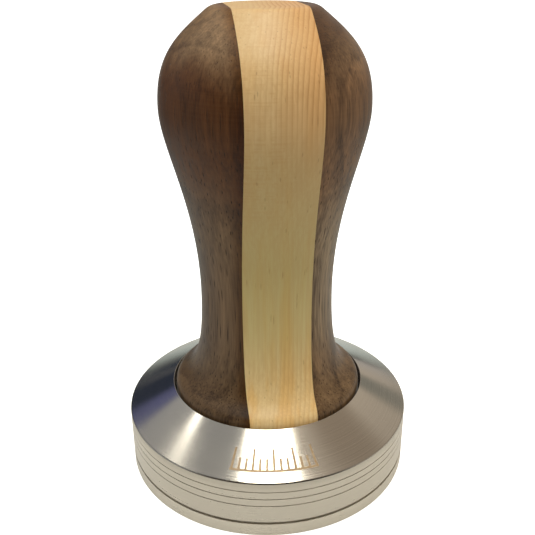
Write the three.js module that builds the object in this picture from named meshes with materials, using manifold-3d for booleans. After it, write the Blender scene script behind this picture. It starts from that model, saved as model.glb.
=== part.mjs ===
// Espresso tamper: a turned stainless base, a three-stave laminated handle and the
// screw joint between them. Millimetres, +Z up. The origin is the centre of the sole,
// and the maple stave faces -Y, so the glue planes are parallel to the YZ plane.
import * as THREE from "three";
import { mergeVertices } from "three/addons/utils/BufferGeometryUtils.js";
import Module from "manifold-3d";

const wasm = await Module();
wasm.setup();

// Base: a flat sole, a grooved wall and a cone that rises to the rim of the recess.
const BASE_RADIUS = 57.35 / 2;
const WALL_TOP = 11.95;
const EDGE_BREAK = 0.25;
const RIM_HEIGHT = 17.0;
const RECESS_RADIUS = 19.35;
const RIM_BREAK = 0.15;
const RECESS_FLOOR = 12.4;
const WIDE_GROOVE = { width: 0.58, depth: 0.55, floorShare: 0.8 };
const WIDE_GROOVE_HEIGHT = 2.93;
const FINE_GROOVE = { width: 0.26, depth: 0.2, floorShare: 0 };
const FINE_GROOVE_HEIGHTS = [6.88, 8.45, 10.02];

// Handle: three cubic arcs from the foot through the waist and the bulb to the flat top.
const FOOT_RADIUS = 18.95;
const FOOT_BREAK = 0.6;
const FLARE = { start: 16.1, rise: 5.4, reach: 22.3 };
const WAIST = { radius: 12.95, height: 36.9, rise: 18.2 };
const BULB = { radius: 19.0, height: 73.2, fall: 7.3, rise: 9.4 };
const TOP = { radius: 9.2, height: 90.0, shoulderOut: 5.4, shoulderDown: 4.5, softening: 0.55 };
const STAVE_WIDTH = 13.0;
const GLUE_LINE = 0.1;

// Joint: an M8 stud bonded into the base, a brass insert in the handle, and a rubber
// washer between the foot and the floor of the recess.
const THREAD = { pitch: 1.25, majorRadius: 4.0, depth: 0.7 };
const THREAD_CLEARANCE = 0.2;
// Where a tooth's crest ends and its root starts and ends, as shares of the pitch.
const TOOTH = { crestEnd: 0.125, rootStart: 0.45, rootEnd: 0.675 };
const STUD_BOTTOM = 4.6;
const STUD_LENGTH = 20.0;
const STUD_CHAMFER = 0.8;
const STUD_HOLE_DEPTH = 8.1;
const COUNTERSINK = 0.4;
const SOCKET = { sides: 6, acrossFlats: 4.0, depth: 4.0 };
const WASHER = { inner: 5.0, outer: 17.6, thickness: 1.2 };
const SEAT_GAP = 0.05;
const INSERT = { length: 13.0, flangeRadius: 7.6, flangeThickness: 1.2, fit: 0.15 };
const INSERT_THREAD = { pitch: 3.0, majorRadius: 5.75, depth: 0.75 };
const INSERT_BORE_DEPTH = 15.0;

const FOOT_BOTTOM = RECESS_FLOOR + WASHER.thickness + 2 * SEAT_GAP;
const STUD_TOP = STUD_BOTTOM + STUD_LENGTH;

// How far a blank stands outside a thread's crests, and a cutter past the face it cuts.
const BLANK_CLEARANCE = 0.5;
const CUT_MARGIN = 1;

const BASE_SEGMENTS = 60;
const HANDLE_SEGMENTS = 48;
const SMALL_SEGMENTS = 32;
const THREAD_SEGMENTS = 16;
const ARC_STEPS = 8;
const MERGE_TOLERANCE = 1e-5;

const STEEL = { color: 0xb9b5ae, roughness: 0.28, metalness: 1 };
const STUD_STEEL = { color: 0x9c9a96, roughness: 0.35, metalness: 1 };
const RUBBER = { color: 0x151515, roughness: 0.85, metalness: 0 };
const BRASS = { color: 0xc79a4a, roughness: 0.35, metalness: 1 };
const WALNUT = { color: 0x5a3a24, roughness: 0.5, metalness: 0 };
const MAPLE = { color: 0xd9ad6c, roughness: 0.45, metalness: 0 };

// ---------------------------------------------------------------- solids

/** A closed geometry as a manifold solid: shared corners merged, slivers dropped. */
function solidOf(geometry) {
  geometry.deleteAttribute("normal");
  geometry.deleteAttribute("uv");
  const merged = mergeVertices(geometry, MERGE_TOLERANCE);
  const corners = merged.index.array;
  const kept = [];
  for (let i = 0; i < corners.length; i += 3) {
    const [a, b, c] = [corners[i], corners[i + 1], corners[i + 2]];
    if (a !== b && b !== c && c !== a) {
      kept.push(a, b, c);
    }
  }
  const mesh = new wasm.Mesh({
    numProp: 3,
    vertProperties: merged.attributes.position.array,
    triVerts: Uint32Array.from(kept),
  });
  return new wasm.Manifold(mesh);
}

/** The geometry of a manifold solid. */
function geometryOf(solid) {
  const { vertProperties, triVerts } = solid.getMesh();
  const geometry = new THREE.BufferGeometry();
  geometry.setAttribute("position", new THREE.BufferAttribute(vertProperties, 3));
  geometry.setIndex(new THREE.BufferAttribute(triVerts, 1));
  geometry.computeVertexNormals();
  return geometry;
}

/** A solid of revolution about Z. The outline is [radius, height] points, outer side upward. */
function turned(outline, segments) {
  const points = outline.map(([radius, height]) => new THREE.Vector2(radius, height));
  return solidOf(new THREE.LatheGeometry(points, segments).rotateX(Math.PI / 2));
}

/** A plain round bar between two heights. */
function bar(radius, bottom, top, segments) {
  return turned([[0, bottom], [radius, bottom], [radius, top], [0, top]], segments);
}

/**
 * A right-hand helical rod that covers at least bottom..top: a trapezoidal tooth swept
 * round the axis, one row of corners per step, closed by a fan at each end. The tooth's
 * corners are [radius, share of the pitch].
 */
function helicalRod({ pitch, majorRadius, depth }, growth, bottom, top) {
  const crest = majorRadius + growth;
  const root = crest - depth;
  const tooth = [
    [crest, 0],
    [crest, TOOTH.crestEnd],
    [root, TOOTH.rootStart],
    [root, TOOTH.rootEnd],
  ];
  // Every rod with the same pitch starts on the same helix, so mating threads are in step.
  const start = (Math.floor(bottom / pitch) - 1) * pitch;
  const turns = Math.ceil((top - start) / pitch) + 1;
  const rows = turns * THREAD_SEGMENTS;
  const positions = [];
  const triangles = [];
  // The corner after a tooth's last one is the first corner of the next turn.
  const corner = (row, k) => {
    const turnedRow = k < tooth.length ? row : row + THREAD_SEGMENTS;
    return turnedRow * tooth.length + (k % tooth.length);
  };
  for (let row = 0; row <= rows + THREAD_SEGMENTS; row += 1) {
    const angle = ((row % THREAD_SEGMENTS) / THREAD_SEGMENTS) * 2 * Math.PI;
    for (const [radius, along] of tooth) {
      const height = start + (row / THREAD_SEGMENTS + along) * pitch;
      positions.push(radius * Math.cos(angle), radius * Math.sin(angle), height);
    }
  }
  const low = positions.length / 3;
  positions.push(0, 0, start - pitch);
  const high = low + 1;
  positions.push(0, 0, start + (turns + 2) * pitch);
  for (let row = 0; row < rows; row += 1) {
    for (let k = 0; k < tooth.length; k += 1) {
      const [a, b] = [corner(row, k), corner(row + 1, k)];
      const [c, d] = [corner(row + 1, k + 1), corner(row, k + 1)];
      triangles.push(a, b, c, a, c, d);
    }
  }
  for (let row = 0; row < THREAD_SEGMENTS; row += 1) {
    triangles.push(low, corner(row + 1, 0), corner(row, 0));
    triangles.push(high, corner(rows + row, 0), corner(rows + row + 1, 0));
  }
  for (let k = 0; k < tooth.length; k += 1) {
    triangles.push(low, corner(0, k), corner(0, k + 1));
    triangles.push(high, corner(rows, k + 1), corner(rows, k));
  }
  const geometry = new THREE.BufferGeometry();
  geometry.setAttribute("position", new THREE.Float32BufferAttribute(positions, 3));
  geometry.setIndex(triangles);
  return solidOf(geometry);
}

/** The blank that a threaded rod is cut from: clear of the crests, with chamfered ends. */
function blankOutline({ majorRadius }, bottom, top, lowChamfer, highChamfer) {
  const radius = majorRadius + BLANK_CLEARANCE;
  return [
    [0, bottom],
    [majorRadius - lowChamfer, bottom],
    [radius, bottom + lowChamfer + BLANK_CLEARANCE],
    [radius, top - highChamfer - BLANK_CLEARANCE],
    [majorRadius - highChamfer, top],
    [0, top],
  ];
}

/** A threaded rod of exact length, cut to the outline that its ends are turned to. */
function threadedRod(thread, outline, bottom, top) {
  return helicalRod(thread, 0, bottom, top).intersect(turned(outline, SMALL_SEGMENTS));
}

/** The space of a threaded hole. Its mouth is a countersink; inward is 1 up or -1 down. */
function threadedHole(bottom, top, mouth, inward) {
  const reach = THREAD.majorRadius + THREAD_CLEARANCE;
  const shaft = helicalRod(THREAD, THREAD_CLEARANCE, bottom, top);
  const blank = bar(reach + CUT_MARGIN, bottom, top, SMALL_SEGMENTS);
  const outside = mouth - inward * CUT_MARGIN;
  const inside = mouth + inward * CUT_MARGIN;
  const cone = [
    [0, outside],
    [reach + COUNTERSINK + CUT_MARGIN, outside],
    [reach + COUNTERSINK - CUT_MARGIN, inside],
    [0, inside],
  ];
  const countersink = turned(inward > 0 ? cone : cone.reverse(), SMALL_SEGMENTS);
  return shaft.intersect(blank).add(countersink);
}

// ---------------------------------------------------------------- base

/** Points of a groove cut into the wall, from its lower edge to its upper edge. */
function grooveOutline(height, { width, depth, floorShare }) {
  const half = width / 2;
  const floorHalf = half * floorShare;
  const inner = BASE_RADIUS - depth;
  const flat = [[inner, height - floorHalf], [inner, height + floorHalf]];
  const floor = floorShare > 0 ? flat : [[inner, height]];
  return [[BASE_RADIUS, height - half], ...floor, [BASE_RADIUS, height + half]];
}

function makeBase() {
  const outline = [
    [0, 0],
    [BASE_RADIUS - EDGE_BREAK, 0],
    [BASE_RADIUS, EDGE_BREAK],
    ...grooveOutline(WIDE_GROOVE_HEIGHT, WIDE_GROOVE),
    ...FINE_GROOVE_HEIGHTS.flatMap((height) => grooveOutline(height, FINE_GROOVE)),
    [BASE_RADIUS, WALL_TOP - EDGE_BREAK],
    [BASE_RADIUS - EDGE_BREAK, WALL_TOP],
    [RECESS_RADIUS + RIM_BREAK, RIM_HEIGHT],
    [RECESS_RADIUS, RIM_HEIGHT - RIM_BREAK],
    [RECESS_RADIUS, RECESS_FLOOR],
    [0, RECESS_FLOOR],
  ];
  const holeBottom = RECESS_FLOOR - STUD_HOLE_DEPTH;
  const hole = threadedHole(holeBottom, RECESS_FLOOR + CUT_MARGIN, RECESS_FLOOR, -1);
  return turned(outline, BASE_SEGMENTS).subtract(hole);
}

function makeStud() {
  const outline = blankOutline(THREAD, STUD_BOTTOM, STUD_TOP, STUD_CHAMFER, STUD_CHAMFER);
  const socketRadius = SOCKET.acrossFlats / 2 / Math.cos(Math.PI / SOCKET.sides);
  const socketBottom = STUD_TOP - SOCKET.depth;
  const socket = bar(socketRadius, socketBottom, STUD_TOP + CUT_MARGIN, SOCKET.sides);
  return threadedRod(THREAD, outline, STUD_BOTTOM, STUD_TOP).subtract(socket);
}

function makeWasher() {
  const bottom = RECESS_FLOOR + SEAT_GAP;
  const top = bottom + WASHER.thickness;
  const outline = [
    [WASHER.inner, bottom],
    [WASHER.outer, bottom],
    [WASHER.outer, top],
    [WASHER.inner, top],
    [WASHER.inner, bottom],
  ];
  return turned(outline, HANDLE_SEGMENTS);
}

// ---------------------------------------------------------------- handle

/** The handle's side from the foot to the flat top, as [radius, height] points. */
function handleSide() {
  const arc = (...corners) => {
    const points = corners.map(([radius, height]) => new THREE.Vector2(radius, height));
    return new THREE.CubicBezierCurve(...points).getPoints(ARC_STEPS);
  };
  const flare = arc(
    [FOOT_RADIUS, FLARE.start],
    [FOOT_RADIUS, FLARE.start + FLARE.rise],
    [WAIST.radius, WAIST.height - FLARE.reach],
    [WAIST.radius, WAIST.height],
  );
  const neck = arc(
    [WAIST.radius, WAIST.height],
    [WAIST.radius, WAIST.height + WAIST.rise],
    [BULB.radius, BULB.height - BULB.fall],
    [BULB.radius, BULB.height],
  );
  const shoulder = arc(
    [BULB.radius, BULB.height],
    [BULB.radius, BULB.height + BULB.rise],
    [TOP.radius + TOP.shoulderOut, TOP.height - TOP.shoulderDown],
    [TOP.radius, TOP.height],
  );
  const side = [...flare, ...neck.slice(1), ...shoulder.slice(1, -1)];
  return side.map((point) => [point.x, point.y]);
}

function handleBody() {
  const outline = [
    [0, FOOT_BOTTOM],
    [FOOT_RADIUS - FOOT_BREAK, FOOT_BOTTOM],
    [FOOT_RADIUS, FOOT_BOTTOM + FOOT_BREAK],
    ...handleSide(),
    [TOP.radius + TOP.softening, TOP.height - TOP.softening],
    [TOP.radius - TOP.softening, TOP.height],
    [0, TOP.height],
  ];
  const boreRadius = INSERT_THREAD.majorRadius + INSERT.fit;
  const flangeRadius = INSERT.flangeRadius + INSERT.fit;
  const below = FOOT_BOTTOM - CUT_MARGIN;
  const pocketTop = FOOT_BOTTOM + INSERT.flangeThickness + INSERT.fit;
  const pocket = bar(flangeRadius, below, pocketTop, SMALL_SEGMENTS);
  const bore = bar(boreRadius, below, FOOT_BOTTOM + INSERT_BORE_DEPTH, SMALL_SEGMENTS);
  return turned(outline, HANDLE_SEGMENTS).subtract(bore).subtract(pocket);
}

/** The slice of the handle between two glue planes. */
function stave(body, left, right) {
  const slab = new THREE.BoxGeometry(right - left, 3 * BULB.radius, 2 * TOP.height);
  slab.translate((left + right) / 2, 0, TOP.height / 2);
  return body.intersect(solidOf(slab));
}

function makeInsert() {
  const bottom = FOOT_BOTTOM;
  const top = bottom + INSERT.length;
  const shoulder = bottom + INSERT.flangeThickness;
  const outline = blankOutline(INSERT_THREAD, bottom, top, 0, INSERT_THREAD.depth);
  const flange = bar(INSERT.flangeRadius, bottom, shoulder, SMALL_SEGMENTS);
  const screw = threadedRod(INSERT_THREAD, outline, bottom, top);
  const hole = threadedHole(bottom - CUT_MARGIN, top + CUT_MARGIN, bottom, 1);
  return screw.add(flange).subtract(hole);
}

// ---------------------------------------------------------------- assembly

const tamper = new THREE.Group();

function place(name, solid, finish) {
  const mesh = new THREE.Mesh(geometryOf(solid), new THREE.MeshStandardMaterial(finish));
  mesh.name = name;
  tamper.add(mesh);
}

const body = handleBody();
const glueEdge = (STAVE_WIDTH - GLUE_LINE) / 2;
const outerEdge = BULB.radius + CUT_MARGIN;

place("base", makeBase(), STEEL);
place("base_stud", makeStud(), STUD_STEEL);
place("foot_washer", makeWasher(), RUBBER);
place("threaded_insert", makeInsert(), BRASS);
place("walnut_stave_left", stave(body, -outerEdge, -glueEdge - GLUE_LINE), WALNUT);
place("maple_stave_center", stave(body, -glueEdge, glueEdge), MAPLE);
place("walnut_stave_right", stave(body, glueEdge + GLUE_LINE, outerEdge), WALNUT);

export default tamper;
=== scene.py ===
"""Espresso tamper: fine meshes, finishes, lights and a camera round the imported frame.

The file is laid out as an add-on and is run as a script. Lengths are metres, so a number
of millimetres is multiplied by MM. Heights and radii that the frame holds come from it.
"""

import math
from typing import NamedTuple

import bmesh
import bpy
from bpy.props import FloatProperty, FloatVectorProperty, IntProperty, PointerProperty
from mathutils import Matrix, Vector, geometry


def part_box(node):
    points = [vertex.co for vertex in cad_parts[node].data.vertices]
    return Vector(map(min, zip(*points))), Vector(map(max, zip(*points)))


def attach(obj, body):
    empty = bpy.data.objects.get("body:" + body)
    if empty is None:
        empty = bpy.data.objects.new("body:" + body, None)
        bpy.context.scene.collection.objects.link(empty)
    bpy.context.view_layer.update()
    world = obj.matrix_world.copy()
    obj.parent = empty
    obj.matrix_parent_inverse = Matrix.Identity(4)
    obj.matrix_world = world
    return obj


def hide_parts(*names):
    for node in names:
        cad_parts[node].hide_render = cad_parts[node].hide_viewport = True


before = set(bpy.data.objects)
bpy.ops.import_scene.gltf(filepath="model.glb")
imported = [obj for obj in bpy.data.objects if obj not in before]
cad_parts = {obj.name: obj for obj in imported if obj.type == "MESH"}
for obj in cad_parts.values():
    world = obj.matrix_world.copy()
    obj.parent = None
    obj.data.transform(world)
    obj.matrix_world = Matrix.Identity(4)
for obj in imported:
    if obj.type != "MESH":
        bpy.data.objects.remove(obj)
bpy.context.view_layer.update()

bl_info = {
    "name": "Espresso tamper",
    "version": (1, 0, 0),
    "blender": (4, 5, 0),
    "location": "3D View > Sidebar > Tamper",
    "description": "Builds the turned base, the laminated handle and the screw joint",
    "category": "Object",
}

MM = 0.001
BASE_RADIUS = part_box("base")[1].x
RIM_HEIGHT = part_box("base")[1].z
FOOT_BOTTOM, TOP_HEIGHT = (corner.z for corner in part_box("maple_stave_center"))
BULB_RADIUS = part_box("maple_stave_center")[1].y
GLUE_PLANE = (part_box("maple_stave_center")[1].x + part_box("walnut_stave_right")[0].x) / 2
STUD_BOTTOM, STUD_TOP = (corner.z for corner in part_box("base_stud"))
STUD_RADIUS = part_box("base_stud")[1].x
WASHER_BOTTOM, WASHER_TOP = (corner.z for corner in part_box("foot_washer"))
WASHER_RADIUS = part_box("foot_washer")[1].x
INSERT_BOTTOM, INSERT_TOP = (corner.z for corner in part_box("threaded_insert"))
FLANGE_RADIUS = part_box("threaded_insert")[1].x

TURNED_SEGMENTS = 256
HANDLE_SEGMENTS = 288
THREAD_SEGMENTS = 72
FLANGE_SEGMENTS = 128
MOUTH_SEGMENTS = 96
FILLET_STEPS = 5
FLARE_STEPS = 56
NECK_STEPS = 64
SHOULDER_STEPS = 56
TOP_STEPS = 8
SMOOTH_CREASE = math.radians(35)
THREAD_CREASE = math.radians(28)
WASHER_CREASE = math.radians(60)
CRISP_EDGE = 0.03 * MM
ON_AXIS = 1e-7


# ------------------------------------------------------------------ settings


def length_setting(name, description, millimetres):
    """A length shown in the sidebar, given in millimetres."""
    return FloatProperty(
        name=name, description=description, default=millimetres * MM, unit="LENGTH", precision=5
    )


def angle_setting(name, description, degrees):
    """An angle shown in the sidebar, given in degrees."""
    return FloatProperty(
        name=name, description=description, default=math.radians(degrees), subtype="ANGLE"
    )


def power_setting(name, description, watts):
    """A light's power shown in the sidebar."""
    return FloatProperty(name=name, description=description, default=watts, unit="POWER")


def colour_setting(name, description, colour):
    """A linear colour shown in the sidebar."""
    return FloatVectorProperty(
        name=name, description=description, default=colour, subtype="COLOR", size=3, min=0, max=1
    )


class TamperBaseSettings(bpy.types.PropertyGroup):
    """Sizes and colours of the turned base."""

    wall_height: length_setting("Wall height", "Height of the edge between wall and cone", 11.95)
    edge_break: length_setting("Edge break", "Radius of the sole's softened edge", 0.22)
    brow_break: length_setting("Brow break", "Radius between the wall and the cone", 0.42)
    recess_radius: length_setting("Recess radius", "Radius of the recess for the foot", 19.35)
    recess_floor: length_setting("Recess floor", "Height of the floor of the recess", 12.4)
    groove_height: length_setting("Wide groove height", "Middle of the wide groove", 2.93)
    groove_width: length_setting("Wide groove width", "Width of the wide groove", 0.58)
    groove_depth: length_setting("Wide groove depth", "Depth of the wide groove", 0.38)
    fine_lowest: length_setting("Lowest fine groove", "Height of the lowest fine groove", 6.88)
    fine_spacing: length_setting("Fine groove spacing", "Step between fine grooves", 1.57)
    fine_width: length_setting("Fine groove width", "Width of a fine groove", 0.17)
    fine_depth: length_setting("Fine groove depth", "Depth of a fine groove", 0.2)
    bore_depth: length_setting("Stud bore depth", "Depth of the bore under the recess", 8.1)
    steel: colour_setting("Steel", "Colour of the stainless steel", (0.60, 0.562, 0.49))
    etching: colour_setting("Etching", "Colour of the laser-marked scale", (0.34, 0.225, 0.105))
    tick_count: IntProperty(name="Ticks", description="Number of marks in the scale", default=13)
    tick_step: angle_setting("Tick step", "Angle between two marks of the scale", 2.85)
    scale_bearing: angle_setting("Scale bearing", "Bearing of the scale's middle mark", -7.6)
    scale_height: length_setting("Scale height", "Height of the scale's base line", 13.1)
    short_tick: length_setting("Short tick", "Rise of a short mark", 1.1)
    long_tick: length_setting("Long tick", "Rise of every third mark", 2.0)


class TamperHandleSettings(bpy.types.PropertyGroup):
    """Sizes and colours of the laminated handle."""

    foot_radius: length_setting("Foot radius", "Radius of the foot in its recess", 18.95)
    foot_break: length_setting("Foot edge", "Radius of the foot's lower edge", 0.6)
    flare_start: length_setting("Flare start", "Height where the foot starts to flare in", 16.1)
    flare_rise: length_setting("Flare rise", "Pull of the flare's lower end", 5.4)
    flare_reach: length_setting("Flare reach", "Pull of the flare's upper end", 22.3)
    waist_radius: length_setting("Waist radius", "Radius of the waist", 12.95)
    waist_height: length_setting("Waist height", "Height of the waist", 36.9)
    neck_rise: length_setting("Neck rise", "Pull of the neck's lower end", 18.2)
    neck_fall: length_setting("Neck fall", "Pull of the neck's upper end", 7.3)
    bulb_height: length_setting("Bulb height", "Height of the bulb's widest ring", 73.2)
    bulb_rise: length_setting("Bulb rise", "Pull of the shoulder's lower end", 9.4)
    top_radius: length_setting("Top radius", "Radius of the flat top", 9.2)
    shoulder_out: length_setting("Shoulder out", "Sideways pull of the shoulder's top", 5.4)
    shoulder_down: length_setting("Shoulder down", "Downward pull of the shoulder's top", 4.5)
    top_softening: length_setting("Top edge", "How far the flat top's edge is rounded", 1.1)
    walnut_dark: colour_setting("Walnut, dark", "Late wood of the walnut", (0.050, 0.026, 0.0115))
    walnut_light: colour_setting("Walnut, light", "Early wood of the walnut", (0.215, 0.135, 0.070))
    maple_pale: colour_setting("Maple, pale", "Early wood of the maple", (0.60, 0.455, 0.22))
    maple_ring: colour_setting("Maple, ring", "Late wood of the maple", (0.47, 0.22, 0.07))


class TamperJointSettings(bpy.types.PropertyGroup):
    """Sizes of the screw joint."""

    pitch: length_setting("Pitch", "Rise of the thread in one turn", 1.25)
    depth: length_setting("Thread depth", "Depth of the thread", 0.7)
    clearance: length_setting("Clearance", "Radial clearance of the inner thread", 0.2)
    stud_chamfer: length_setting("Stud chamfer", "Chamfer at the ends of the stud", 0.8)
    socket_width: length_setting("Socket width", "Hex socket across its flats", 4.0)
    socket_depth: length_setting("Socket depth", "Depth of the hex socket", 4.0)
    wood_pitch: length_setting("Wood thread pitch", "Rise of the insert's outer thread", 3.0)
    wood_radius: length_setting("Wood thread radius", "Radius of the outer thread", 5.75)
    wood_depth: length_setting("Wood thread depth", "Depth of the outer thread", 0.75)
    flange_thickness: length_setting("Flange thickness", "Thickness of the flange", 1.2)
    washer_hole: length_setting("Washer hole", "Radius of the hole in the washer", 5.0)
    insert_bore: length_setting("Insert bore depth", "Depth of the bore in the foot", 15.0)
    brass: colour_setting("Brass", "Colour of the insert", (0.62, 0.41, 0.16))
    rubber: colour_setting("Rubber", "Colour of the washer", (0.012, 0.012, 0.013))


class TamperStageSettings(bpy.types.PropertyGroup):
    """Camera, lights and floor."""

    camera_turn: angle_setting("Camera turn", "Bearing from straight in front", -10.1)
    camera_pitch: angle_setting("Camera pitch", "How far the camera looks down", 24.37)
    camera_aside: angle_setting("Camera aside", "How far the camera looks to one side", -0.096)
    camera_lean: angle_setting("Camera lean", "How far the camera leans over", -0.45)
    camera_back: length_setting("Camera distance", "Distance back from the axis", 130.9)
    camera_up: length_setting("Camera height", "Height of the camera", 100.46)
    camera_lens: FloatProperty(
        name="Lens", description="Focal length on a 36 mm sensor", default=49.25, unit="CAMERA"
    )
    floor_colour: colour_setting("Floor", "Colour of the floor", (0.71, 0.71, 0.69))
    key_power: power_setting("Overhead power", "Power of the overhead softbox", 6.3)
    side_power: power_setting("Side power", "Power of the side strip", 0.68)
    front_power: power_setting("Front power", "Power of the front softbox", 3.2)


# ------------------------------------------------------------------ mesh tools

CORE_SHARE = 0.3

# One turn of a thread: how far below the crest, as a share of its depth, and where
# along the pitch. The crest and the root have softened corners.
TOOTH = (
    (0.05, 0.0),
    (0.0, 0.03),
    (0.0, 0.095),
    (0.05, 0.125),
    (0.92, 0.43),
    (1.0, 0.47),
    (1.0, 0.655),
    (0.92, 0.695),
)


def filleted(corners, steps=FILLET_STEPS):
    """Rounds a chain of corners. Each corner is (radius, height, fillet, finish).

    Gives (radius, height, finish, edge) points. The finish is that of the stretch that
    starts at the point, and edge is 1 on rounded edges. A corner may end with a finish
    of its own for its rounding, which then isn't worn.
    """
    points = []
    for i, (radius, height, fillet, finish, *own) in enumerate(corners):
        here = Vector((radius, height))
        if fillet <= 0 or i in (0, len(corners) - 1):
            points.append((radius, height, finish, 0.0))
            continue
        before = (Vector(corners[i - 1][:2]) - here).normalized()
        after = (Vector(corners[i + 1][:2]) - here).normalized()
        half_angle = before.angle(after) / 2
        reach = fillet / math.tan(half_angle)
        start, end = here + before * reach, here + after * reach
        middle = here + (before + after).normalized() * (fillet / math.sin(half_angle))
        spoke = start - middle
        sweep = -spoke.angle_signed(end - middle)
        for step in range(steps + 1):
            place = middle + Matrix.Rotation(sweep * step / steps, 2) @ spoke
            chosen = own[0] if own and step < steps else finish
            points.append((place.x, place.y, chosen, 0.0 if own else 1.0))
    return points


def turned_bmesh(points, segments, closed=False):
    """A body turned about Z from (radius, height, finish, edge) points, outer side upward.

    The chain starts and ends on the axis, or closes on itself.
    """
    bm = bmesh.new()
    edge_layer = bm.verts.layers.float.new("worn_edge")
    rings = []
    for radius, height, _, edge in points:
        count = 1 if radius < ON_AXIS else segments
        ring = []
        for i in range(count):
            angle = 2 * math.pi * i / segments
            vertex = bm.verts.new((radius * math.cos(angle), radius * math.sin(angle), height))
            vertex[edge_layer] = edge
            ring.append(vertex)
        rings.append(ring)
    pairs = len(rings) if closed else len(rings) - 1
    for k in range(pairs):
        low, high = rings[k], rings[(k + 1) % len(rings)]
        for i in range(segments):
            j = (i + 1) % segments
            corners = [low[i % len(low)], low[j % len(low)], high[j % len(high)], high[i % len(high)]]
            face = bm.faces.new(list(dict.fromkeys(corners)))
            face.material_index = points[k][2]
            face.smooth = True
    return bm


def helical_bmesh(pitch, crest, depth, bottom, top, chamfer_low, chamfer_high):
    """A right-hand threaded rod with rounded crests, trimmed flat at both ends.

    Rods of one pitch share one helix, so that mating threads stay in step. A chamfer
    never cuts into the core.
    """
    tooth = [(crest - sunk * depth, along) for sunk, along in TOOTH]
    core = CORE_SHARE * crest
    start = (math.floor(bottom / pitch) - 2) * pitch
    rows = (math.ceil((top - start) / pitch) + 1) * THREAD_SEGMENTS
    bm = bmesh.new()
    lines = []
    for row in range(rows + THREAD_SEGMENTS + 1):
        angle = 2 * math.pi * row / THREAD_SEGMENTS
        line = []
        for radius, along in tooth:
            height = start + (row / THREAD_SEGMENTS + along) * pitch
            limit = crest - max(0.0, chamfer_low - (height - bottom), chamfer_high - (top - height))
            kept = max(min(radius, limit), core)
            line.append(bm.verts.new((kept * math.cos(angle), kept * math.sin(angle), height)))
        lines.append(line)

    def corner(row, k):
        return lines[row][k] if k < len(tooth) else lines[row + THREAD_SEGMENTS][0]

    for row in range(rows):
        for k in range(len(tooth)):
            quad = [corner(row, k), corner(row + 1, k), corner(row + 1, k + 1), corner(row, k + 1)]
            bm.faces.new(quad).smooth = True
    trim(bm, (0, 0, bottom), (0, 0, -1))
    trim(bm, (0, 0, top), (0, 0, 1))
    bmesh.ops.recalc_face_normals(bm, faces=bm.faces)
    return bm


def trim(bm, place, outward):
    """Cuts off what lies outside a plane and closes the cut."""
    everything = bm.verts[:] + bm.edges[:] + bm.faces[:]
    bmesh.ops.bisect_plane(bm, geom=everything, plane_co=place, plane_no=outward, clear_outer=True)
    spot, normal = Vector(place), Vector(outward)
    rim = [
        edge
        for edge in bm.edges
        if edge.is_boundary and abs((edge.verts[0].co - spot).dot(normal)) < ON_AXIS
    ]
    if rim:
        bmesh.ops.holes_fill(bm, edges=rim, sides=0)


def piece_from(bm, name, materials, crease=SMOOTH_CREASE):
    """A mesh object from bm, with creases where faces meet at more than the angle."""
    mesh = bpy.data.meshes.new(name)
    bm.to_mesh(mesh)
    bm.free()
    mesh.set_sharp_from_angle(angle=crease)
    for material in materials:
        mesh.materials.append(material)
    piece = bpy.data.objects.new(name, mesh)
    bpy.context.scene.collection.objects.link(piece)
    return piece


def combine(piece, tool, operation):
    """Cuts the tool's shape out of the piece, or joins it on, and removes the tool."""
    combined = piece.modifiers.new("combined", "BOOLEAN")
    combined.operation = operation
    combined.solver = "EXACT"
    combined.object = tool
    graph = bpy.context.evaluated_depsgraph_get()
    mesh = bpy.data.meshes.new_from_object(piece.evaluated_get(graph))
    mesh.set_sharp_from_angle(angle=THREAD_CREASE)
    piece.modifiers.clear()
    piece.data = mesh
    bpy.data.objects.remove(tool)


def weigh_normals(piece):
    """Keeps flats flat beside small fillets by weighing normals by face area."""
    weighted = piece.modifiers.new("weighted_normals", "WEIGHTED_NORMAL")
    weighted.keep_sharp = True
    weighted.weight = 80


def hand_over(piece, body, nodes):
    """Lets the piece ride on its body and stand for its nodes, which are hidden."""
    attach(piece, body)
    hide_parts(*nodes)


# ------------------------------------------------------------------ node tools

VECTOR = "NodeSocketVector"
FLOAT = "NodeSocketFloat"


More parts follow.
